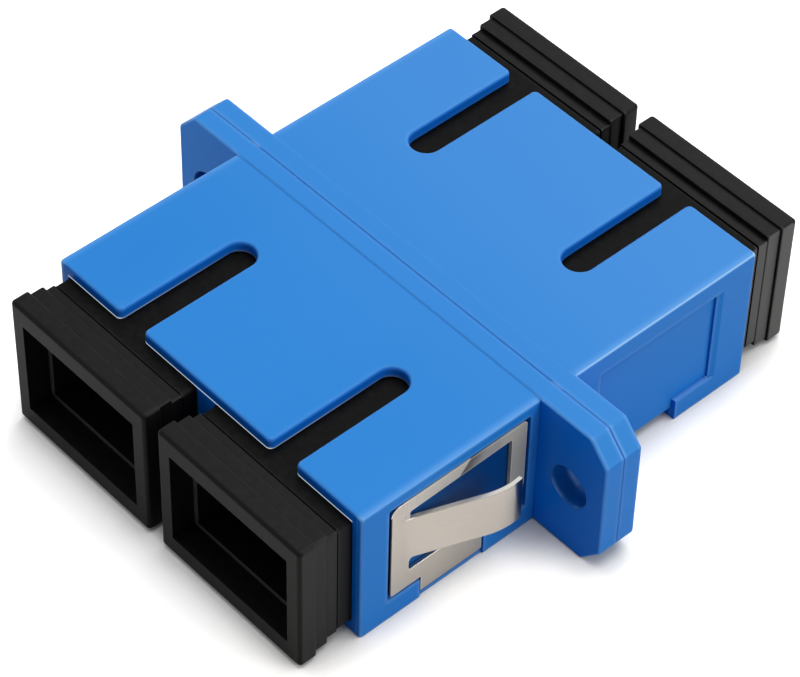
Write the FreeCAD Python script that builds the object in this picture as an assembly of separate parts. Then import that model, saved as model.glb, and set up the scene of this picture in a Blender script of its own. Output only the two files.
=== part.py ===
import FreeCAD, Part
import math
import os

# Duplex SC fibre adapter, in millimetres.
# The ports run along Y, the panel flange stands in the XZ plane, +Z is the side with the key slots.
# The origin lies on the base, under the point where the two ferrules of a channel meet.

# body
port_pitch = 12.7
body_width = 25.35
body_height = 9.9
body_length = 29.75
seam_offset = 0.625
top_edge_round = 0.22
base_edge_round = 0.08

# panel flange, half of it on each housing
flange_width = 35.75
flange_rise = 0.08
flange_half_thickness = 1.35
flange_corner_width = 1.35
flange_corner_height = 1.5
flange_corner_round = 0.35
flange_edge_round = 0.17
seam_chamfer = 0.07
ear_hole_spacing = 30.4
ear_hole_radius = 1.38

# ports
top_wall = 0.75
mouth_width = 11.2
mouth_depth = 1.5
mouth_corner_round = 0.25
guide_width = 9.15
guide_height = 7.5
key_relief_width = 4.4
key_slot_width = 2.0
key_slot_length = 8.8
key_slot_corner_round = 0.36

# latch body inside each half of each channel
latch_plate_width = 10.6
latch_plate_height = 8.3
latch_plate_thickness = 1.2
latch_plate_fit = 0.05
hook_gap = 2.7
hook_thickness = 0.95
hook_height = 3.6
hook_reach = 7.2
hook_barb = 0.4
hook_barb_length = 0.9

# split alignment sleeve and the barrel that carries it
sleeve_length = 11.4
sleeve_outer_radius = 1.6
sleeve_inner_radius = 1.245
sleeve_slit = 0.5
sleeve_fit = 0.05
barrel_wall = 0.5
barrel_lip = 0.4
ferrule_clearance_radius = 1.4

# mounting clip of folded spring strip
clip_thickness = 0.25
clip_gap = 0.04
clip_margin = 0.2
clip_start = 2.15
clip_length = 9.9
clip_bottom = 1.7
clip_top = 8.88
clip_corner_round = 0.6
clip_frame_left = 1.35
clip_frame_right = 1.1
clip_frame_top = 0.98
clip_frame_bottom = 1.3
clip_window_slant = 0.18
clip_window_round = 0.15
clip_slit_round = 0.25
strap_start = 4.45
strap_width = 4.55
strap_height = 0.28
strap_bend_radius = 0.06
tongue_bottom = 4.08
tongue_top = 7.33
tongue_lift_angle = 21.0
tongue_lift_length = 5.69
tongue_root_radius = 2.0
tongue_curl_angle = 7.5
tongue_curl_radius = 4.37
tongue_tip_length = 0.05

# bridges under the clip's strap, one at each side of the front housing's base
bridge_setback = 0.15
bridge_length = 2.2

# empty clip pocket on the rear housing
rear_pocket_start = 2.87
rear_pocket_notch = 5.59
rear_pocket_length = 9.3
rear_pocket_top = 8.5
rear_ramp_length = 0.42
rear_ramp_depth = 0.17
rear_groove_bevel = 0.5
pocket_corner_round = 0.15

# dust caps
cap_fit = 0.05
cap_seat_gap = 0.05
cap_reach = 3.88
cap_rim_length = 1.2
cap_rim_width = 11.65
cap_rim_height = 9.45
cap_rim_round = 0.25
cap_step_length = 0.95
cap_step_drop = 0.19
cap_back_round = 0.1
cap_collar_length = 0.68
cap_collar_rise = 0.05
cap_collar_flare = 0.03
cap_groove_length = 0.1
cap_groove_depth = 0.08
cap_insertion = 9.2
cap_nose_lead = 0.3
cap_pocket_width = 9.6
cap_pocket_height = 6.75
cap_pocket_depth = 1.55
cap_shelf = 0.35
cap_nose_wall = 0.6
cap_web = 1.0
cap_back_pocket_depth = 4.3

# worked out from the values above
split_y = -seam_offset
front_length = body_length / 2 - seam_offset
rear_length = body_length / 2 + seam_offset
port_centres = {"left": -port_pitch / 2, "right": port_pitch / 2}
axis_height = body_height / 2
mouth_height = body_height - 2 * top_wall
pocket_depth = clip_thickness + 2 * clip_gap

# how far a cutter runs past the face it opens, and the smallest length that counts
overshoot = 1.0
tiny = 1e-6


def block(x_range, y_range, z_range):
    """A box between the two values of each range, in either order."""
    low = [min(r) for r in (x_range, y_range, z_range)]
    size = [abs(r[1] - r[0]) for r in (x_range, y_range, z_range)]
    return Part.makeBox(size[0], size[1], size[2], FreeCAD.Vector(*low))


def centred(middle, width):
    return (middle - width / 2, middle + width / 2)


def port_block(centre, width, height, y_range):
    """A box centred on a channel's optical axis."""
    return block(centred(centre, width), y_range, centred(axis_height, height))


def edges_along_y(shape):
    return [e for e in shape.Edges if e.BoundBox.YLength > tiny and e.BoundBox.XLength < tiny
            and e.BoundBox.ZLength < tiny]


def edges_in_plane(shape, y):
    return [e for e in shape.Edges if abs(e.BoundBox.YMin - y) < tiny and e.BoundBox.YLength < tiny]


def round_corners(points):
    """Edges of a closed outline; each point is (a, b, radius) and the outline lies in the XY plane."""
    edges = []
    ends = []
    count = len(points)
    for i in range(count):
        ax, ay, radius = points[i]
        corner = FreeCAD.Vector(ax, ay, 0)
        before = FreeCAD.Vector(points[i - 1][0], points[i - 1][1], 0) - corner
        after = FreeCAD.Vector(points[(i + 1) % count][0], points[(i + 1) % count][1], 0) - corner
        before.normalize()
        after.normalize()
        half = before.getAngle(after) / 2
        if radius <= 0 or half > math.pi / 2 - tiny:
            ends.append((corner, None, corner))
            continue
        run = radius / math.tan(half)
        inward = before + after
        inward.normalize()
        middle = corner + inward * (radius / math.sin(half) - radius)
        ends.append((corner + before * run, middle, corner + after * run))
    for i in range(count):
        start, middle, end = ends[i]
        if middle is not None:
            edges.append(Part.Arc(start, middle, end).toShape())
        following = ends[(i + 1) % count][0]
        if (following - end).Length > tiny:
            edges.append(Part.LineSegment(end, following).toShape())
    return edges


def plate(points, low, high):
    """A rounded outline in the XY plane, extruded in Z between two heights."""
    face = Part.Face(Part.Wire(round_corners(points)))
    solid = face.extrude(FreeCAD.Vector(0, 0, high - low))
    solid.translate(FreeCAD.Vector(0, 0, low))
    return solid


def side_plate(points, low, high):
    """An outline of (y, z, radius) points, extruded along X between two values."""
    solid = plate(points, low, high)
    turned = FreeCAD.Matrix(0, 0, 1, 0, 1, 0, 0, 0, 0, 1, 0, 0, 0, 0, 0, 1)
    solid.Placement = FreeCAD.Placement(turned).multiply(solid.Placement)
    return solid


def end_plate(points, low, high):
    """An outline of (x, z, radius) points, extruded along Y between two values."""
    solid = plate(points, -high, -low)
    solid.rotate(FreeCAD.Vector(0, 0, 0), FreeCAD.Vector(1, 0, 0), 90)
    return solid


def bent_strip(path, thickness):
    """Outline of a strip folded along a path; each point is (a, b, radius of its middle line)."""
    left = []
    right = []
    last = len(path) - 1
    for i, (a, b, radius) in enumerate(path):
        here = FreeCAD.Vector(a, b, 0)
        heading_in = here - FreeCAD.Vector(path[max(i, 1) - 1][0], path[max(i, 1) - 1][1], 0)
        if i == 0:
            heading_in = FreeCAD.Vector(path[1][0], path[1][1], 0) - here
        heading_out = heading_in
        if 0 < i < last:
            heading_out = FreeCAD.Vector(path[i + 1][0], path[i + 1][1], 0) - here
        turn = math.atan2(heading_in.x * heading_out.y - heading_in.y * heading_out.x,
                          heading_in.dot(heading_out))
        heading = math.atan2(heading_in.y, heading_in.x) + turn / 2
        offset = thickness / 2 / math.cos(turn / 2)
        normal = FreeCAD.Vector(-math.sin(heading), math.cos(heading), 0) * offset
        sign = 0 if abs(turn) < tiny else math.copysign(1, turn)
        shift = sign * thickness / 2
        left.append(((here + normal).x, (here + normal).y, max(radius - shift, 0) if radius else 0))
        right.append(((here - normal).x, (here - normal).y, max(radius + shift, 0) if radius else 0))
    return left + right[::-1]


def tube(outer_radius, inner_radius, centre, y_range):
    start = FreeCAD.Vector(centre, min(y_range), axis_height)
    length = abs(y_range[1] - y_range[0])
    along = FreeCAD.Vector(0, 1, 0)
    outer = Part.makeCylinder(outer_radius, length, start, along)
    inner = Part.makeCylinder(inner_radius, length, start, along)
    return outer.cut(inner)


def key_slot(centre, length):
    """Slot through the top wall, open at the mouth, with a round inner end."""
    half = key_slot_width / 2
    flare = half + key_slot_corner_round
    inner = -length + key_slot_length
    outline = [
        (centre - flare, -length - overshoot, 0),
        (centre + flare, -length - overshoot, 0),
        (centre + flare, -length, 0),
        (centre + half, -length, key_slot_corner_round),
        (centre + half, inner, half),
        (centre - half, inner, half),
        (centre - half, -length, key_slot_corner_round),
        (centre - flare, -length, 0),
    ]
    return plate(outline, axis_height, body_height + overshoot)


def housing_body(length):
    """Slotted block from the mouth at y = -length to the split plane at y = 0, its outer edges rounded."""
    body = block(centred(0, body_width), (-length, 0), (0, body_height))
    body = body.cut([key_slot(centre, length) for centre in port_centres.values()])
    outer = body_width / 2 - tiny
    top = [e for e in body.Edges if e.BoundBox.ZMin > body_height - tiny and e.BoundBox.YMin < -tiny]
    corners = [e for e in body.Edges if e.BoundBox.ZLength > body_height - tiny
               and e.BoundBox.YMax < -tiny and abs(e.BoundBox.XMin) > outer]
    body = body.makeFillet(top_edge_round, top + corners)
    base = [e for e in body.Edges if e.BoundBox.ZMax < tiny and e.BoundBox.YMin < -tiny]
    return body.makeFillet(base_edge_round, base)


def flange_half():
    half = flange_width / 2
    top = body_height + flange_rise
    corner_x = half - flange_corner_width
    turn = flange_corner_round
    outline = [
        (corner_x, 0, turn),
        (half, flange_corner_height, turn),
        (half, top - flange_corner_height, turn),
        (corner_x, top, turn),
        (-corner_x, top, turn),
        (-half, top - flange_corner_height, turn),
        (-half, flange_corner_height, turn),
        (-corner_x, 0, turn),
    ]
    solid = end_plate(outline, -flange_half_thickness, 0)
    solid = solid.makeFillet(flange_edge_round, edges_in_plane(solid, -flange_half_thickness))
    return solid.makeChamfer(seam_chamfer, edges_in_plane(solid, 0))


def port_cutters(length):
    """Mouth, guide channel, key relief and latch plate pocket of both channels of a half."""
    cutters = []
    plate_depth = latch_plate_thickness + latch_plate_fit
    for centre in port_centres.values():
        mouth = port_block(centre, mouth_width, mouth_height, (-length - overshoot, -length + mouth_depth))
        cutters.append(mouth.makeFillet(mouth_corner_round, edges_along_y(mouth)))
        cutters.append(port_block(centre, guide_width, guide_height, (-length, 0)))
        cutters.append(port_block(centre, key_relief_width, mouth_height, (-length, -plate_depth)))
        pocket_width = latch_plate_width + 2 * latch_plate_fit
        pocket_height = latch_plate_height + 2 * latch_plate_fit
        cutters.append(port_block(centre, pocket_width, pocket_height, (-plate_depth, overshoot)))
    return cutters


def clip_pocket(start, notch, pocket_length, top, sill):
    """Cutter for the clip pocket on the right side of a half; the strap's opening runs down to the sill."""
    outer = body_width / 2
    ledge = clip_bottom - clip_margin
    notch_end = notch + strap_width + clip_margin
    end = start + pocket_length
    outline = [
        (start, top, pocket_corner_round),
        (start, ledge, pocket_corner_round),
        (notch, ledge, 0),
        (notch, sill, 0),
        (notch_end, sill, 0),
        (notch_end, ledge, 0),
        (end, ledge, pocket_corner_round),
        (end, top, pocket_corner_round),
    ]
    return side_plate(outline, outer - pocket_depth, outer + overshoot)


def mirrored(shape):
    return shape.mirror(FreeCAD.Vector(0, 0, 0), FreeCAD.Vector(1, 0, 0))


def front_recesses():
    """Clip pockets, and the strap's slot through the base with a bridge below it at each side."""
    near = clip_start - clip_margin - front_length
    notch = strap_start - clip_margin / 2 - front_length
    notch_end = notch + strap_width + clip_margin
    bridge_top = strap_height - clip_gap
    slot_top = strap_height + clip_thickness + clip_gap
    outer = body_width / 2
    reach = outer + overshoot
    pocket = clip_pocket(near, notch, clip_length + 2 * clip_margin, clip_top + clip_margin, bridge_top)
    bridge_face = outer - bridge_setback
    face = block((bridge_face, reach), (notch, notch_end), (-overshoot, slot_top))
    slot = block((-reach, reach), (notch, notch_end), (bridge_top, slot_top))
    open_base = block(centred(0, 2 * (bridge_face - bridge_length)), (notch, notch_end), (-overshoot, slot_top))
    return [pocket, mirrored(pocket), face, mirrored(face), slot, open_base]


def rear_recesses():
    """Empty clip pockets with a ramp at the mouth side, and the strap's groove across the base."""
    near = rear_pocket_start - rear_length
    notch = rear_pocket_notch - rear_length
    notch_end = notch + strap_width + clip_margin
    outer = body_width / 2
    floor = outer - pocket_depth
    reach = outer + overshoot
    pocket = clip_pocket(near, notch, rear_pocket_length, rear_pocket_top, -overshoot)
    ramp_outline = [
        (outer - rear_ramp_depth, near, 0),
        (outer - rear_ramp_depth, near + rear_ramp_length, 0),
        (outer + rear_ramp_depth, near + rear_ramp_length, 0),
        (outer + rear_ramp_depth, near - 2 * rear_ramp_length, 0),
        (outer, near - rear_ramp_length, 0),
    ]
    ramp = plate(ramp_outline, clip_bottom - clip_margin, rear_pocket_top)
    bevel = rear_groove_bevel
    groove_outline = [
        (-reach, -overshoot, 0),
        (reach, -overshoot, 0),
        (reach, pocket_depth + bevel, 0),
        (floor, pocket_depth + bevel, 0),
        (floor - bevel, pocket_depth, 0),
        (-floor + bevel, pocket_depth, 0),
        (-floor, pocket_depth + bevel, 0),
        (-reach, pocket_depth + bevel, 0),
    ]
    groove = end_plate(groove_outline, notch, notch_end)
    return [pocket, mirrored(pocket), ramp, mirrored(ramp), groove]


def housing_half(length, recesses):
    solid = housing_body(length).fuse(flange_half())
    cutters = port_cutters(length) + recesses
    for side in (-1, 1):
        start = FreeCAD.Vector(side * ear_hole_spacing / 2, -flange_half_thickness - overshoot, axis_height)
        hole_length = flange_half_thickness + 2 * overshoot
        cutters.append(Part.makeCylinder(ear_hole_radius, hole_length, start, FreeCAD.Vector(0, 1, 0)))
    return solid.cut(cutters).removeSplitter()


def front_housing():
    solid = housing_half(front_length, front_recesses())
    solid.translate(FreeCAD.Vector(0, split_y, 0))
    return solid


def rear_housing():
    solid = housing_half(rear_length, rear_recesses())
    solid.rotate(FreeCAD.Vector(0, 0, 0), FreeCAD.Vector(0, 0, 1), 180)
    solid.translate(FreeCAD.Vector(0, split_y, 0))
    return solid


def latch_hook(centre, side, hand):
    """One spring arm with an inward barb at its free end."""
    inner = hook_gap
    outer = hook_gap + hook_thickness
    root = split_y + side * latch_plate_thickness / 2
    tip = side * hook_reach
    barb_root = tip - side * hook_barb_length
    outline = [
        (centre + hand * outer, root, 0),
        (centre + hand * inner, root, 0),
        (centre + hand * inner, barb_root, 0),
        (centre + hand * (inner - hook_barb), barb_root, 0),
        (centre + hand * (inner - hook_barb / 4), tip, 0),
        (centre + hand * outer, tip, 0),
    ]
    return plate(outline, axis_height - hook_height / 2, axis_height + hook_height / 2)


def latch_body(centre, side):
    """Plate, sleeve barrel and two hooks in one moulding; side is -1 at the front and 1 at the rear."""
    plate_range = (split_y, split_y + side * latch_plate_thickness)
    barrel_end = side * (sleeve_length / 2 + sleeve_fit + barrel_lip)
    seat_end = side * (sleeve_length / 2 + sleeve_fit)
    bore = sleeve_outer_radius + sleeve_fit
    solid = port_block(centre, latch_plate_width, latch_plate_height, plate_range)
    along = FreeCAD.Vector(0, side, 0)
    start = FreeCAD.Vector(centre, split_y, axis_height)
    barrel_length = abs(barrel_end - split_y)
    solid = solid.fuse(Part.makeCylinder(bore + barrel_wall, barrel_length, start, along))
    for hand in (-1, 1):
        solid = solid.fuse(latch_hook(centre, side, hand))
    seat = Part.makeCylinder(bore, abs(seat_end - split_y), start, along)
    throat = Part.makeCylinder(ferrule_clearance_radius, barrel_length + overshoot, start, along)
    return solid.cut([seat, throat]).removeSplitter()


def alignment_sleeve(centre):
    half = sleeve_length / 2
    ring = tube(sleeve_outer_radius, sleeve_inner_radius, centre, (-half, half))
    slit = block(
        centred(centre, sleeve_slit),
        (-half - overshoot, half + overshoot),
        (axis_height, axis_height + sleeve_outer_radius + overshoot),
    )
    return ring.cut(slit)


def clip_frame(outer_x):
    """Flat frame of one clip leg with its window, on the right side."""
    left = split_y - front_length + clip_start
    right = left + clip_length
    outline = [
        (left, clip_bottom, clip_corner_round / 2),
        (right, clip_bottom, clip_corner_round / 2),
        (right, clip_top, clip_corner_round / 2),
        (left, clip_top, clip_corner_round),
    ]
    window = [
        (left + clip_frame_left, clip_bottom + clip_frame_bottom, clip_slit_round),
        (right - clip_frame_right, clip_bottom + clip_frame_bottom, clip_window_round),
        (right - clip_frame_right, clip_top - clip_frame_top + clip_window_slant, clip_window_round),
        (left + clip_frame_left, clip_top - clip_frame_top, clip_window_round),
    ]
    inner_x = outer_x - clip_thickness
    frame = side_plate(outline, inner_x, outer_x)
    return frame.cut(side_plate(window, inner_x - overshoot, outer_x + overshoot))


def clip_tongue(outer_x):
    """Spring tongue that leaves the frame's front bar and curls back towards the body at its free end."""
    root = split_y - front_length + clip_start + clip_frame_left
    middle = outer_x - clip_thickness / 2
    lift = math.radians(tongue_lift_angle)
    curl = math.radians(tongue_curl_angle)
    peak_y = root + tongue_lift_length * math.cos(lift)
    peak_x = middle + tongue_lift_length * math.sin(lift)
    run = tongue_curl_radius * math.tan((lift + curl) / 2) + tongue_tip_length
    path = [
        (middle, root - clip_frame_left / 2, 0),
        (middle, root, tongue_root_radius),
        (peak_x, peak_y, tongue_curl_radius),
        (peak_x - run * math.sin(curl), peak_y + run * math.cos(curl), 0),
    ]
    strip = plate(bent_strip(path, clip_thickness), tongue_bottom - clip_slit_round, tongue_top)
    beyond = root + 2 * tongue_lift_length
    slit = [
        (root, tongue_bottom, clip_slit_round),
        (root, clip_bottom, 0),
        (beyond, clip_bottom, 0),
        (beyond, tongue_bottom, 0),
    ]
    return strip.cut(side_plate(slit, outer_x - clip_thickness - overshoot, outer_x + tongue_lift_length))


def clip_strap(outer_x):
    """Strip that joins the two legs under the body."""
    start = split_y - front_length + strap_start
    middle_x = outer_x - clip_thickness / 2
    middle_z = strap_height + clip_thickness / 2
    leg_top = clip_bottom + clip_frame_bottom / 2
    radius = strap_bend_radius + clip_thickness / 2
    path = [
        (middle_x, leg_top, 0),
        (middle_x, middle_z, radius),
        (-middle_x, middle_z, radius),
        (-middle_x, leg_top, 0),
    ]
    return end_plate(bent_strip(path, clip_thickness), start, start + strap_width)


def mounting_clip():
    outer_x = body_width / 2 - clip_gap
    leg = clip_frame(outer_x).fuse(clip_tongue(outer_x))
    return leg.fuse([mirrored(leg), clip_strap(outer_x)]).removeSplitter()


def cap_outside():
    """Outside of a front cap; the mouth plane is y = 0 and the rim lies towards -Y."""
    plug_width = mouth_width - 2 * cap_fit
    plug_height = mouth_height - 2 * cap_fit
    nose_width = guide_width - 2 * cap_fit
    nose_height = guide_height - 2 * cap_fit
    pad_width = key_relief_width - 2 * cap_fit
    rim_back = -cap_reach + cap_rim_length
    step_back = rim_back + cap_step_length
    collar_back = step_back + cap_collar_length
    shoulder = mouth_depth - cap_seat_gap
    rim = port_block(0, cap_rim_width, cap_rim_height, (-cap_reach, rim_back))
    rim = rim.makeFillet(cap_rim_round, edges_along_y(rim) + edges_in_plane(rim, -cap_reach))
    rim = rim.makeFillet(cap_back_round, edges_in_plane(rim, rim_back))
    step = port_block(0, cap_rim_width - 2 * cap_step_drop, cap_rim_height - 2 * cap_step_drop,
                      (-cap_reach + cap_rim_round, step_back))
    step = step.makeFillet(cap_rim_round / 2, edges_along_y(step))
    step = step.makeFillet(cap_back_round, edges_in_plane(step, step_back))
    collar = port_block(0, plug_width + 2 * cap_collar_flare, plug_height + 2 * cap_collar_rise,
                        (step_back, collar_back))
    collar = collar.makeFillet(cap_rim_round / 2, edges_along_y(collar))
    plug = port_block(0, plug_width, plug_height, (step_back, shoulder))
    plug = plug.makeFillet(mouth_corner_round, edges_along_y(plug))
    nose = port_block(0, nose_width, nose_height, (0, cap_insertion))
    nose = nose.makeChamfer(cap_nose_lead, edges_in_plane(nose, cap_insertion))
    pad = port_block(0, pad_width, plug_height, (0, cap_insertion - cap_nose_lead))
    groove_range = (collar_back, collar_back + cap_groove_length)
    core = port_block(0, plug_width - 2 * cap_groove_depth, plug_height - 2 * cap_groove_depth, groove_range)
    groove = port_block(0, plug_width + overshoot, plug_height + overshoot, groove_range).cut(core)
    return rim.fuse([step, collar, plug, nose, pad]).cut(groove)


def cap_inside():
    """The stepped pocket that opens at the rim, and the pocket at the nose that clears the latch."""
    nose_width = guide_width - 2 * cap_fit
    nose_height = guide_height - 2 * cap_fit
    shelf_y = -cap_reach + cap_pocket_depth
    web_y = cap_insertion - cap_back_pocket_depth
    throat_width = nose_width - 2 * cap_nose_wall
    throat_height = nose_height - 2 * cap_nose_wall
    shelf_width = cap_pocket_width - 2 * cap_shelf
    shelf_height = cap_pocket_height - 2 * cap_shelf
    shoulder = mouth_depth - cap_seat_gap - cap_nose_wall
    return [
        port_block(0, cap_pocket_width, cap_pocket_height, (-cap_reach - overshoot, shelf_y)),
        port_block(0, shelf_width, shelf_height, (-cap_reach, shoulder)),
        port_block(0, throat_width, min(throat_height, shelf_height), (-cap_reach, web_y - cap_web)),
        port_block(0, throat_width, throat_height, (web_y, cap_insertion + overshoot)),
    ]


def dust_cap(centre, side):
    solid = cap_outside().cut(cap_inside()).removeSplitter()
    mouth = split_y - front_length if side < 0 else split_y + rear_length
    if side > 0:
        solid.rotate(FreeCAD.Vector(0, 0, 0), FreeCAD.Vector(0, 0, 1), 180)
    solid.translate(FreeCAD.Vector(centre, mouth, 0))
    return solid


def pieces():
    made = {
        "front_housing": front_housing(),
        "rear_housing": rear_housing(),
        "mounting_clip": mounting_clip(),
    }
    for hand, centre in port_centres.items():
        made[hand + "_alignment_sleeve"] = alignment_sleeve(centre)
        for end, side in (("front", -1), ("rear", 1)):
            made[end + "_" + hand + "_latch_body"] = latch_body(centre, side)
            made[end + "_" + hand + "_dust_cap"] = dust_cap(centre, side)
    return made


def main():
    os.makedirs("parts", exist_ok=True)
    for name, shape in pieces().items():
        if len(shape.Solids) != 1 or not shape.isValid():
            raise RuntimeError(name + " is not one valid solid")
        shape.Solids[0].exportStep("parts/" + name + ".step")
        box = shape.BoundBox
        print("%-24s %8.1f mm3  x %.2f %.2f  y %.2f %.2f  z %.2f %.2f" % (
            name, shape.Volume, box.XMin, box.XMax, box.YMin, box.YMax, box.ZMin, box.ZMax))


main()
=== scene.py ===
import bpy
import math
from mathutils import Matrix, Vector

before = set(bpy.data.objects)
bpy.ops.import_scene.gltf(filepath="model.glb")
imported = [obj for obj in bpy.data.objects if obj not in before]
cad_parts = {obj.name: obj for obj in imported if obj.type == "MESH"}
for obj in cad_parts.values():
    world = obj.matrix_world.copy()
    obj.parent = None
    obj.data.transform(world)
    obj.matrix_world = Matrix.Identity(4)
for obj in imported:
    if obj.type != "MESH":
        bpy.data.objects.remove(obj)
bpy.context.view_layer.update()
mm = 0.001


class Wire:
    # a shader socket that can be used in sums; plain numbers stay plain until they meet one
    def __init__(self, tree, socket):
        self.tree = tree
        self.socket = socket

    def node(self, kind, settings=None, values=None, out=0):
        # any node: its settings first, then a value or a link for each socket
        made = self.tree.nodes.new(kind)
        for key, value in (settings or {}).items():
            setattr(made, key, value)
        for key, value in (values or {}).items():
            if isinstance(value, Wire):
                self.tree.links.new(value.socket, made.inputs[key])
            else:
                made.inputs[key].default_value = value
        return Wire(self.tree, made.outputs[out])

    def maths(self, operation, *others):
        values = dict(enumerate((self,) + others))
        return self.node("ShaderNodeMath", {"operation": operation}, values)

    def __add__(self, other):
        return self.maths("ADD", other)

    def __radd__(self, other):
        return self.maths("ADD", other)

    def __sub__(self, other):
        return self.maths("SUBTRACT", other)

    def __rsub__(self, other):
        return self.node("ShaderNodeMath", {"operation": "SUBTRACT"}, {0: other, 1: self})

    def __mul__(self, other):
        return self.maths("MULTIPLY", other)

    def __rmul__(self, other):
        return self.maths("MULTIPLY", other)

    def absolute(self):
        return self.maths("ABSOLUTE")

    def larger(self, other):
        return self.maths("MAXIMUM", other)

    def axes(self):
        # the three parts of a vector
        split = self.node("ShaderNodeSeparateXYZ", values={0: self}).socket.node
        return [Wire(self.tree, output) for output in split.outputs]

    def smooth(self, low, high):
        # 0 below low, 1 above high, eased between; low may be the larger, which turns it round
        settings = {"interpolation_type": "SMOOTHSTEP", "clamp": True}
        values = {"From Min": low, "From Max": high, "To Min": 0.0, "To Max": 1.0}
        return self.node("ShaderNodeMapRange", settings, {"Value": self, **values})

    def past(self, limit, ease):
        # 0 up to the limit and 1 from one ease beyond it; a negative ease runs the other way
        return self.smooth(limit, limit + ease)

    def within(self, limit, ease):
        # 1 up to the limit and 0 from one ease beyond it
        return self.smooth(limit + ease, limit)

    def between(self, ends, ease):
        # 0 outside the two ends and 1 inside them, eased on the inner side
        low, high = ends
        return self.past(low, ease) * self.past(high, -ease)

    def band(self, middle, half):
        # 1 near the middle value, 0 from one half away
        return (self - middle).absolute().smooth(half, half * masks["bandFull"])

    def span(self, low, high):
        # low where this is 0, high where it is 1
        return self * (high - low) + low

    def blend(self, first, second):
        # a colour between first and second, by this wire as the share of second
        settings = {"data_type": "RGBA", "blend_type": "MIX"}
        return self.node("ShaderNodeMix", settings, {0: self, 6: first, 7: second}, out=2)


masks = {
    "raySamples": 3,
    "roundSamples": 4,
    # where a mask starts and where it is full: by the share of open rays, and by the slant
    "rim": (0.92, 0.45),
    "crevice": (0.72, 0.25),
    "turned": (0.12, 0.42),
    # the part of a band's half width that is at its full strength
    "bandFull": 0.4,
}


class Surface:
    # where a point of a piece lies, and which way its surface faces there
    def __init__(self, tree):
        coords = tree.nodes.new("ShaderNodeTexCoord")
        self.place = Wire(tree, coords.outputs["Object"])
        self.across, self.along, self.up = self.place.axes()
        normal = self.place.node("ShaderNodeNewGeometry", out="Normal")
        self.toSide, self.toEnd, self.toTop = normal.axes()

    def openRays(self, reach, samples, inside=False, alone=False):
        # the share of rays that meet nothing within reach
        settings = {"inside": inside, "only_local": alone, "samples": samples}
        return self.place.node("ShaderNodeAmbientOcclusion", settings, {"Distance": reach}, out=1)

    def rim(self, reach):
        # 1 on outer edges, falling to 0 at the given reach from them
        share = self.openRays(reach, masks["raySamples"], inside=True, alone=True)
        return share.smooth(*masks["rim"])

    def crevice(self, reach):
        # 1 deep in narrow gaps and inner corners, 0 in the open
        return self.openRays(reach, masks["raySamples"]).smooth(*masks["crevice"])

    def slant(self):
        # 0 on faces square to the object, a half where a round faces midway between two of them
        side, end, top = [part.absolute() for part in (self.toSide, self.toEnd, self.toTop)]
        return side * end + end * top + top * side

    def turned(self):
        return self.slant().smooth(*masks["turned"])

    def noise(self, scale, detail):
        # a cloudy pattern; three scales stretch it along the axes
        spot = self.place
        if isinstance(scale, tuple):
            spot = spot.node("ShaderNodeMapping", values={"Vector": spot, "Scale": scale})
            scale = 1.0
        values = {"Vector": spot, "Scale": scale, "Detail": detail}
        return spot.node("ShaderNodeTexNoise", values=values)

    def bumped(self, height, look):
        # the height as relief, over edges that look rounded
        settings = {"samples": masks["roundSamples"]}
        values = {
            "Height": height,
            "Distance": look["reliefDepth"],
            "Strength": look["relief"],
            "Normal": self.place.node("ShaderNodeBevel", settings, {"Radius": look["edge"]}),
        }
        return self.place.node("ShaderNodeBump", values=values)


def rgb(red, green, blue):
    return (red, green, blue, 1.0)


black = rgb(0.0, 0.0, 0.0)
white = rgb(1.0, 1.0, 1.0)


def newMaterial(name, constants):
    material = bpy.data.materials.new(name)
    material.use_nodes = True
    tree = material.node_tree
    shader = tree.nodes["Principled BSDF"]
    for key, value in constants.items():
        shader.inputs[key].default_value = value
    return material, shader, Surface(tree)


def feed(shader, name, wire):
    wire.tree.links.new(wire.socket, shader.inputs[name])


def uneven(middle, grains):
    # the middle value, swung up and down by half of each grain's share
    total = middle - sum(share for grain, share in grains) / 2
    for grain, share in grains:
        total = grain * share + total
    return total


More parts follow.
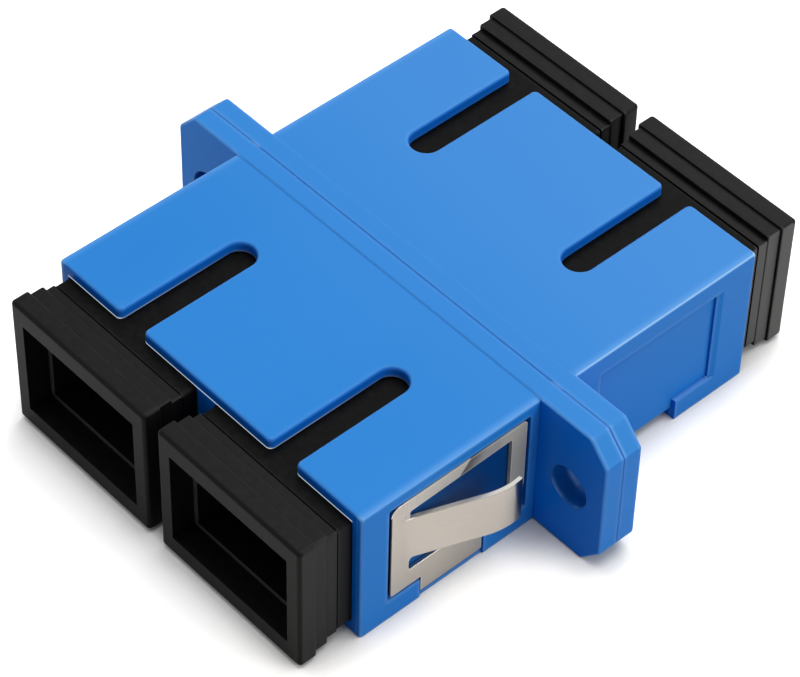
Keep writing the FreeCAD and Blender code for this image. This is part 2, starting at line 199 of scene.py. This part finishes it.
housingLook = {
    "shader": {
        "IOR": 1.5,
        "Specular IOR Level": 0.06,
        "Specular Tint": rgb(0.50, 0.85, 1.0),
        "Emission Strength": 1.0,
    },
    "colour": rgb(0.030, 0.213, 0.608),
    "deep": rgb(0.026, 0.204, 0.590),
    "flow": (90.0, 45.0, 120.0),
    "flowDetail": 4.0,
    "flowEase": (0.3, 0.7),
    "fine": 7000.0,
    "fineDetail": 2.0,
    "roughness": 0.30,
    "fineRough": 0.05,
    "flowRough": 0.08,
    "flowHeight": 4.0,
    "reliefDepth": 0.002 * mm,
    "relief": 0.35,
    "edge": 0.10 * mm,
    # how squarely a face looks up, sideways or along before its colour shows; steep takes in the rounds
    "facingUp": (0.3, 0.8),
    "upright": (0.6, 0.3),
    "steep": (0.85, 0.55),
    "square": (0.5, 0.9),
    "sharp": 0.02 * mm,
    "ease": 0.05 * mm,
    "soft": 0.1 * mm,
    # the rear half is painted a little lighter on top: a painted sheen from the light behind
    "pale": rgb(0.052, 0.236, 0.618),
    "paleFrom": (-12.0 * mm, 14.0 * mm),
    # upright faces are painted in lit and shaded copies of the blue, by the way they face: outer sides,
    # walls of slots and mouths in painted shade, right-hand faces that look along the ports, and the
    # left ear's front, painted lighter
    "side": rgb(0.017, 0.200, 0.645),
    "wall": rgb(0.003, 0.135, 0.580),
    "wallInside": 12.25 * mm,
    "mouth": rgb(0.001, 0.122, 0.580),
    "mouthFrom": 14.6 * mm,
    "front": rgb(0.001, 0.148, 0.670),
    "frontFrom": 12.35 * mm,
    "frontLeft": rgb(0.028, 0.260, 0.850),
    "frontLeftFrom": -12.85 * mm,
    "flangeMiddle": -0.625 * mm,
    "flangeHalf": 1.35 * mm,
    "flangeEase": 0.2 * mm,
    # the screw holes are painted dark inside: painted shade
    "hole": rgb(0.000, 0.095, 0.400),
    "holeShare": 0.85,
    "holeMiddle": (15.2 * mm, 4.95 * mm),
    "holeRadius": 1.39 * mm,
    # painted highlights: the top face is painted lighter towards the body's sides, and edges are
    # painted light
    "worn": rgb(0.230, 0.480, 0.900),
    "brimShare": 0.22,
    "brimFrom": (12.05 * mm, 12.60 * mm),
    "brimEnd": 12.85 * mm,
    "rimReach": 0.30 * mm,
    "rimFlat": (0.9, 0.5),
    "rimFlatShare": 0.30,
    "rimTurnedShare": 0.85,
    "rimInsideLoss": 0.5,
    # a glint runs along the body's top side edges, stronger on the rear half
    "glint": rgb(0.620, 0.860, 1.0),
    "glintSlant": (0.40, 0.49),
    "glintFrom": (-2.0 * mm, 2.0 * mm),
    "glintShare": (0.05, 0.35),
    # painted shade in gaps and inner corners
    "shade": rgb(0.002, 0.085, 0.400),
    "shadeShare": 0.9,
    "gapReach": 0.30 * mm,
    # the pocket floor behind the clip's window lies in shade towards the flange
    "dark": rgb(0.000, 0.046, 0.205),
    "darkShare": (0.60, 0.95),
    "windowFloor": 12.345 * mm,
    "windowEnds": (-13.1 * mm, -2.5 * mm),
    "windowHeights": (1.4 * mm, 9.2 * mm),
    "windowDeep": (-11.0 * mm, -7.0 * mm),
    # a thin line of light, painted as a glow, along the lower edge of the top wall, at the front mouths
    # and slots
    "flash": rgb(0.500, 0.560, 0.580),
    "flashHeight": 9.19 * mm,
    "flashHalf": 0.065 * mm,
    "flashInside": 11.9 * mm,
    "flashFrom": (-5.0 * mm, -13.5 * mm),
    "flashFacing": (0.3, 0.8),
    "flashShare": (0.315, 0.90),
}


def housingFaces(look, surface, skin):
    # painted light and shade: upright faces by where they look and lie, painted shade in the screw
    # holes, and the painted sheen on the rear half's top
    across, along, up = surface.across, surface.along, surface.up
    width = across.absolute()
    end = surface.toEnd.absolute().smooth(*look["square"])
    upright = surface.toTop.absolute().smooth(*look["upright"])
    facingUp = surface.toTop.smooth(*look["facingUp"])
    skin = (along.smooth(*look["paleFrom"]) * facingUp).blend(skin, look["pale"])
    skin = (upright * surface.toSide.absolute().smooth(*look["square"])).blend(skin, look["side"])
    wall = along.absolute().past(look["mouthFrom"], look["ease"]).blend(look["wall"], look["mouth"])
    steep = surface.toTop.absolute().smooth(*look["steep"])
    inner = width.within(look["wallInside"], look["ease"])
    skin = (steep * inner * offFlange(look, along)).blend(skin, wall)
    front = across.past(look["frontFrom"], look["ease"]) * end
    skin = (upright * front).blend(skin, look["front"])
    forwards = (0.0 - surface.toEnd).smooth(*look["square"])
    frontLeft = across.past(look["frontLeftFrom"], -look["ease"]) * forwards
    skin = (upright * frontLeft).blend(skin, look["frontLeft"])
    aside = width - look["holeMiddle"][0]
    above = up - look["holeMiddle"][1]
    fromHole = (aside * aside + above * above).maths("SQRT")
    hole = fromHole.within(look["holeRadius"], look["sharp"]) * look["holeShare"]
    return hole.blend(skin, look["hole"])


def offFlange(look, along):
    fromFlange = (along - look["flangeMiddle"]).absolute()
    return fromFlange.past(look["flangeHalf"], look["flangeEase"])


def housingEdges(look, surface, skin):
    # painted highlights on edges and along the top's brim, the painted glint on the side edges, and
    # painted shade in gaps
    along = surface.along
    width = surface.across.absolute()
    brim = width.smooth(*look["brimFrom"]) * width.past(look["brimEnd"], -look["soft"])
    facingUp = surface.toTop.smooth(*look["facingUp"])
    brim = brim * offFlange(look, along) * facingUp
    skin = (brim * look["brimShare"]).blend(skin, look["worn"])
    flat = surface.toEnd.absolute().smooth(*look["rimFlat"]) * look["rimFlatShare"]
    edges = surface.rim(look["rimReach"]) * flat.larger(surface.turned() * look["rimTurnedShare"])
    inner = width.within(look["wallInside"], look["ease"])
    skin = (edges * (1.0 - inner * look["rimInsideLoss"])).blend(skin, look["worn"])
    glint = surface.slant().smooth(*look["glintSlant"])
    glint = glint * width.past(look["brimFrom"][0], look["soft"])
    glint = glint * width.within(look["brimEnd"], look["soft"])
    glint = glint * along.smooth(*look["glintFrom"]).span(*look["glintShare"])
    skin = glint.blend(skin, look["glint"])
    return (surface.crevice(look["gapReach"]) * look["shadeShare"]).blend(skin, look["shade"])


def housingWindow(look, surface, skin):
    behind = surface.across.absolute().band(look["windowFloor"], look["ease"])
    behind = behind * surface.along.between(look["windowEnds"], look["soft"])
    behind = behind * surface.up.between(look["windowHeights"], look["soft"])
    depth = surface.along.smooth(*look["windowDeep"]).span(*look["darkShare"])
    return (behind * depth).blend(skin, look["dark"])


def housingGlow(look, surface):
    # the painted line of light, glowing along the top wall's lower edge
    share = surface.toEnd.absolute().smooth(*look["flashFacing"]).span(*look["flashShare"])
    flash = surface.up.band(look["flashHeight"], look["flashHalf"])
    flash = flash * surface.across.absolute().within(look["flashInside"], look["ease"])
    return (flash * surface.along.smooth(*look["flashFrom"]) * share).blend(black, look["flash"])


def housingPlastic():
    look = housingLook
    material, shader, surface = newMaterial("bluePlastic", look["shader"])
    flow = surface.noise(look["flow"], look["flowDetail"])
    fine = surface.noise(look["fine"], look["fineDetail"])
    skin = flow.smooth(*look["flowEase"]).blend(look["colour"], look["deep"])
    for layer in (housingFaces, housingEdges, housingWindow):
        skin = layer(look, surface, skin)
    feed(shader, "Base Color", skin)
    feed(shader, "Emission Color", housingGlow(look, surface))
    grains = [(fine, look["fineRough"]), (flow, look["flowRough"])]
    feed(shader, "Roughness", uneven(look["roughness"], grains))
    feed(shader, "Normal", surface.bumped(fine + flow * look["flowHeight"], look))
    return material


capLook = {
    "shader": {"IOR": 1.48, "Specular IOR Level": 0.03, "Coat IOR": 1.3, "Coat Roughness": 0.4},
    "colour": rgb(0.0036, 0.0036, 0.0035),
    # fine scuffs run along the caps
    "scuff": rgb(0.0062, 0.0062, 0.0060),
    "drag": (2600.0, 2600.0, 160.0),
    "dragDetail": 3.0,
    "scuffEase": (0.35, 0.7),
    "fine": 8000.0,
    "fineDetail": 2.0,
    "roughness": 0.40,
    "fineRough": 0.08,
    "dragRough": 0.08,
    "reliefDepth": 0.004 * mm,
    "relief": 0.6,
    "edge": 0.08 * mm,
    # the right-hand outer sides are lit, most of all on the rear cap
    "lit": rgb(0.0900, 0.0900, 0.0890),
    "litFrom": (12.0 * mm, 17.0 * mm),
    "litOutside": (10.0 * mm, 11.0 * mm),
    "litFacing": (0.7, 0.9),
    "litBefore": 0.14,
    # the small shelf round the hollow catches a little light
    "shelf": rgb(0.0600, 0.0600, 0.0590),
    "shelfPlace": 17.205 * mm,
    "shelfHalf": 0.07 * mm,
    "shelfFacing": (0.5, 0.8),
    # painted highlights on edges, less so on the front caps
    "worn": rgb(0.1000, 0.1000, 0.0990),
    "highlightFrom": (0.0 * mm, 1.0 * mm),
    "highlightShare": (0.40, 0.85),
    "rimReach": 0.16 * mm,
    # the rim's outer round is painted dark as a painted dark reflection, and the gaps get painted shade
    "round": rgb(0.0008, 0.0008, 0.0008),
    "roundFrom": (18.35 * mm, 18.50 * mm),
    "roundShare": 0.9,
    "gapReach": 0.50 * mm,
    "gapEase": (0.0, 0.5),
    # the plug inside the port has less shine than the ridge outside
    "ridgeFrom": (15.60 * mm, 16.00 * mm),
    "coat": (0.03, 0.30),
}


def capPlastic():
    look = capLook
    material, shader, surface = newMaterial("blackPlastic", look["shader"])
    drag = surface.noise(look["drag"], look["dragDetail"])
    fine = surface.noise(look["fine"], look["fineDetail"])
    along = surface.along
    out = along.absolute()
    skin = drag.smooth(*look["scuffEase"]).blend(look["colour"], look["scuff"])
    beside = surface.toSide.absolute().smooth(*look["litFacing"])
    beside = beside * surface.across.smooth(*look["litOutside"])
    beside = beside * along.smooth(*look["litFrom"]).larger(look["litBefore"])
    skin = beside.blend(skin, look["lit"])
    shelf = out.band(look["shelfPlace"], look["shelfHalf"])
    shelf = shelf * surface.toEnd.absolute().smooth(*look["shelfFacing"])
    skin = shelf.blend(skin, look["shelf"])
    rounded = surface.turned()
    highlightAmount = along.smooth(*look["highlightFrom"]).span(*look["highlightShare"])
    skin = (surface.rim(look["rimReach"]) * rounded * highlightAmount).blend(skin, look["worn"])
    skin = (rounded * out.smooth(*look["roundFrom"]) * look["roundShare"]).blend(skin, look["round"])
    # painted shade in the gaps
    gap = surface.crevice(look["gapReach"]).smooth(*look["gapEase"])
    feed(shader, "Base Color", gap.blend(skin, look["round"]))
    feed(shader, "Coat Weight", out.smooth(*look["ridgeFrom"]).span(*look["coat"]) * (1.0 - gap))
    grains = [(fine, look["fineRough"]), (drag, look["dragRough"])]
    feed(shader, "Roughness", uneven(look["roughness"], grains))
    feed(shader, "Normal", surface.bumped(fine, look))
    return material


clipLook = {
    "shader": {"Specular IOR Level": 0.3},
    "colour": rgb(0.562, 0.520, 0.474),
    "dull": rgb(0.540, 0.500, 0.456),
    "rolled": (1.0, 260.0, 5200.0),
    "rolledDetail": 3.0,
    "rolledShare": 0.6,
    "cloud": 500.0,
    "cloudDetail": 2.0,
    "cloudShare": 0.4,
    "dullEase": (0.35, 0.65),
    "roughness": 0.15,
    "rolledRough": 0.05,
    "cloudRough": 0.04,
    "satinRough": 0.25,
    "reliefDepth": 0.002 * mm,
    "relief": 0.5,
    "edge": 0.05 * mm,
    "sharp": 0.02 * mm,
    # what stands out past the frame's face is the tongue
    "frameFace": 12.70 * mm,
    "frameEase": 0.08 * mm,
    # the frame's end near the flange is satin, its greys painted lighter low down and towards the
    # flange as painted light; a painted dark reflection crosses the strip before it, and the strip
    # before that is painted lighter still
    "satin": rgb(0.370, 0.362, 0.350),
    "satinLow": rgb(0.500, 0.480, 0.458),
    "satinBefore": rgb(0.610, 0.572, 0.525),
    "satinEnd": rgb(0.500, 0.480, 0.410),
    "satinFrom": (-12.7 * mm, -10.4 * mm),
    "satinHeight": (3.2 * mm, 4.2 * mm),
    "satinPlain": 0.85,
    "endFrom": (-5.2 * mm, -4.2 * mm),
    "aboveTongue": (7.0 * mm, 7.6 * mm),
    "pastRoot": (-10.2 * mm, -9.8 * mm),
    "frameHeights": (4.8 * mm, 8.5 * mm),
    "darkReflection": rgb(0.130, 0.128, 0.125),
    "reflectionStart": -7.25 * mm,
    "reflectionEnd": -5.70 * mm,
    "reflectionEase": 0.2 * mm,
    "reflectionSlant": 0.9,
    # a painted line of light runs along the frame's edges, and the dark gap along its front end is a
    # painted shadow line
    "line": rgb(0.930, 0.910, 0.880),
    "lineReach": 0.09 * mm,
    "lineFacing": (0.7, 0.9),
    "lineShare": 0.8,
    "gapShadow": rgb(0.004, 0.006, 0.010),
    "gapShadowEnd": -12.640 * mm,
    "gapShadowHeight": 8.35 * mm,
    "gapShadowEase": 0.1 * mm,
    # the tongue's curled tip is painted dark as a painted reflection, and a painted line of shade runs
    # beside its light upper edge
    "tip": rgb(0.050, 0.085, 0.135),
    "tipFrom": (-5.55 * mm, -5.15 * mm),
    "tipShare": 0.85,
    "tongueEdge": rgb(0.360, 0.350, 0.335),
    "tongueUp": (0.5, 0.9),
    "tonguePlain": 0.6,
    "tongueShadeLine": rgb(0.004, 0.004, 0.004),
    "tongueTop": (5.5 * mm, 6.0 * mm),
}


def satinSteel(look, along, up):
    # the satin frame's greys of painted light and shade, with the slanted painted dark reflection
    # across them
    grey = up.smooth(*look["frameHeights"]).blend(look["satinLow"], look["satin"])
    grey = along.smooth(*look["endFrom"]).blend(grey, look["satinEnd"])
    slanted = along - (up - look["frameHeights"][1]) * look["reflectionSlant"]
    started = slanted.past(look["reflectionStart"] - look["reflectionEase"], look["reflectionEase"])
    grey = started.blend(look["satinBefore"], grey)
    darkReflection = started * slanted.smooth(look["reflectionEnd"], look["reflectionStart"])
    return darkReflection.blend(grey, look["darkReflection"])


def springSteel():
    look = clipLook
    material, shader, surface = newMaterial("springSteel", look["shader"])
    rolled = surface.noise(look["rolled"], look["rolledDetail"])
    cloud = surface.noise(look["cloud"], look["cloudDetail"])
    along, up = surface.along, surface.up
    flat = surface.across.absolute().within(look["frameFace"], look["frameEase"])
    tongue = 1.0 - flat
    mottle = rolled * look["rolledShare"] + cloud * look["cloudShare"]
    skin = mottle.smooth(*look["dullEase"]).blend(look["colour"], look["dull"])
    tip = tongue * along.smooth(*look["tipFrom"]) * look["tipShare"]
    skin = tip.blend(skin, look["tip"])
    satin = flat * along.smooth(*look["satinFrom"]) * up.smooth(*look["satinHeight"])
    satin = satin * up.smooth(*look["aboveTongue"]).larger(along.smooth(*look["pastRoot"]))
    skin = satin.blend(skin, satinSteel(look, along, up))
    line = surface.rim(look["lineReach"]) * surface.toSide.absolute().smooth(*look["lineFacing"])
    line = line * look["lineShare"]
    skin = (line * flat).blend(skin, look["line"])
    skin = (line * tongue * up.smooth(*look["tongueTop"])).blend(skin, look["tongueShadeLine"])
    gapShadow = flat * along.past(look["gapShadowEnd"], -look["sharp"])
    gapShadow = gapShadow * up.past(look["gapShadowHeight"], -look["gapShadowEase"])
    skin = gapShadow.blend(skin, look["gapShadow"])
    edge = tongue * surface.toTop.smooth(*look["tongueUp"])
    feed(shader, "Base Color", edge.blend(skin, look["tongueEdge"]))
    plain = (satin * look["satinPlain"]).larger(edge * look["tonguePlain"]).larger(gapShadow)
    feed(shader, "Metallic", 1.0 - plain)
    grains = [(rolled, look["rolledRough"]), (cloud, look["cloudRough"])]
    feed(shader, "Roughness", satin * look["satinRough"] + uneven(look["roughness"], grains))
    feed(shader, "Normal", surface.bumped(rolled, look))
    return material


latchLook = {
    "shader": {"IOR": 1.5},
    "colour": rgb(0.70, 0.69, 0.63),
    "shade": rgb(0.64, 0.63, 0.57),
    "pattern": 300.0,
    "detail": 3.0,
    "ease": (0.3, 0.7),
    "roughness": 0.42,
    "swing": 0.10,
    "reliefDepth": 0.004 * mm,
    "relief": 0.5,
    "edge": 0.05 * mm,
}

sleeveLook = {
    "shader": {"IOR": 2.1},
    "colour": rgb(0.86, 0.85, 0.82),
    "shade": rgb(0.80, 0.79, 0.76),
    "pattern": (200.0, 9000.0, 200.0),
    "detail": 2.0,
    "ease": (0.3, 0.7),
    "roughness": 0.18,
    "swing": 0.08,
    "reliefDepth": 0.001 * mm,
    "relief": 0.4,
    "edge": 0.03 * mm,
}


def plainMaterial(name, look):
    # one colour that varies a little with its grain, for the pieces held inside
    material, shader, surface = newMaterial(name, look["shader"])
    grains = surface.noise(look["pattern"], look["detail"])
    feed(shader, "Base Color", grains.smooth(*look["ease"]).blend(look["colour"], look["shade"]))
    feed(shader, "Roughness", uneven(look["roughness"], [(grains, look["swing"])]))
    feed(shader, "Normal", surface.bumped(grains, look))
    return material


def dress(node, material):
    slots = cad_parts[node].data.materials
    slots.clear()
    slots.append(material)


def dressAll():
    looks = {
        "housing": housingPlastic(),
        "mounting_clip": springSteel(),
        "latch_body": plainMaterial("naturalPlastic", latchLook),
        "alignment_sleeve": plainMaterial("groundCeramic", sleeveLook),
        "dust_cap": capPlastic(),
    }
    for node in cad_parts:
        for ending, material in looks.items():
            if node.endswith(ending):
                dress(node, material)
    print("materials done")


cameraPlace = {
    # angles in degrees
    "azimuth": 46.696,
    "elevation": 46.867,
    "roll": 1.548,
    "distance": 192.564 * mm,
    "target": (0.646 * mm, -1.167 * mm, 4.5 * mm),
    # the camera's own millimetres
    "lens": 152.40,
    "sensor": 36.0,
    # in metres
    "clip": (0.01, 10.0),
}


def makeCamera():
    place = cameraPlace
    turn = math.radians(place["azimuth"])
    rise = math.radians(place["elevation"])
    roll = math.radians(place["roll"])
    back = Vector((math.sin(turn) * math.cos(rise), -math.cos(turn) * math.cos(rise), math.sin(rise)))
    level = (-back).cross(Vector((0, 0, 1))).normalized()
    upright = level.cross(-back)
    right = level * math.cos(roll) + upright * math.sin(roll)
    up = upright * math.cos(roll) - level * math.sin(roll)
    camera = bpy.data.objects.new("camera", bpy.data.cameras.new("camera"))
    bpy.context.scene.collection.objects.link(camera)
    spot = Vector(place["target"]) + back * place["distance"]
    facing = Matrix((right, up, back)).transposed().to_4x4()
    camera.matrix_world = Matrix.Translation(spot) @ facing
    camera.data.sensor_width = place["sensor"]
    camera.data.lens = place["lens"]
    camera.data.clip_start, camera.data.clip_end = place["clip"]
    bpy.context.scene.camera = camera
    print("camera done")


studio = {
    "floorSize": 3.0,
    "floorShader": {"Roughness": 0.9, "Specular IOR Level": 0.0, "Emission Strength": 1.0},
    "floorSeen": white,
    # the floor's right side is a touch warmer, against the blue that the body throws on it
    "floorBeside": rgb(1.0, 0.972, 0.925),
    "besideFrom": (4.0 * mm, 14.0 * mm),
    # the floor's colour for light that falls back on the object
    "floorGiven": rgb(0.50, 0.50, 0.50),
    # close under the object the floor is painted in shadow and loses its glow
    "floorShadow": rgb(0.57, 0.57, 0.57),
    "floorGlow": rgb(0.44, 0.44, 0.44),
    "contactReach": 3.5 * mm,
    "contactSamples": 4,
    "contactEase": (0.36, 0.94),
    "worldLight": 0.30,
    "lamps": [
        # name, place in metres, size, watts
        ("overhead", (0.02, 0.12, 0.60), 0.50, 2.35),
        ("right", (0.55, 0.20, 0.35), 0.40, 1.75),
        ("behind", (-0.18, 0.36, 0.40), 0.22, 0.45),
        ("left", (-0.55, -0.16, 0.20), 0.30, 0.75),
    ],
}


def raysOf(tree, kinds):
    # 1 for light paths of any of the given kinds
    path = tree.nodes.new("ShaderNodeLightPath")
    found = Wire(tree, path.outputs["Is " + kinds[0] + " Ray"])
    for kind in kinds[1:]:
        found = found.larger(Wire(tree, path.outputs["Is " + kind + " Ray"]))
    return found


def seenRays(tree):
    return raysOf(tree, ["Camera", "Glossy", "Transmission"])


def makeFloor():
    half = studio["floorSize"] / 2
    mesh = bpy.data.meshes.new("floor")
    corners = [(-half, -half, 0), (half, -half, 0), (half, half, 0), (-half, half, 0)]
    mesh.from_pydata(corners, [], [(0, 1, 2, 3)])
    floor = bpy.data.objects.new("floor", mesh)
    bpy.context.scene.collection.objects.link(floor)
    material, shader, surface = newMaterial("paleFloor", studio["floorShader"])
    tree = material.node_tree
    # painted contact shadow: the floor darkens where few rays get out
    clear = surface.openRays(studio["contactReach"], studio["contactSamples"])
    clear = clear.smooth(*studio["contactEase"])
    plain = surface.across.smooth(*studio["besideFrom"])
    plain = plain.blend(studio["floorSeen"], studio["floorBeside"])
    shown = clear.blend(studio["floorShadow"], plain)
    feed(shader, "Base Color", seenRays(tree).blend(studio["floorGiven"], shown))
    glow = (raysOf(tree, ["Camera"]) * clear).blend(black, studio["floorGlow"])
    feed(shader, "Emission Color", glow)
    mesh.materials.append(material)


def makeLight():
    world = bpy.data.worlds.new("studio")
    bpy.context.scene.world = world
    world.use_nodes = True
    background = world.node_tree.nodes["Background"]
    background.inputs["Color"].default_value = white
    feed(background, "Strength", seenRays(world.node_tree).span(studio["worldLight"], 1.0))
    for name, spot, size, power in studio["lamps"]:
        lamp = bpy.data.lights.new(name, "AREA")
        lamp.size = size
        lamp.energy = power
        holder = bpy.data.objects.new(name, lamp)
        bpy.context.scene.collection.objects.link(holder)
        holder.location = spot
        holder.rotation_mode = "QUATERNION"
        holder.rotation_quaternion = Vector(spot).to_track_quat("Z", "Y")
    print("floor and lamps done")


makeCamera()
dressAll()
makeFloor()
makeLight()
bpy.context.scene.view_settings.view_transform = "Standard"
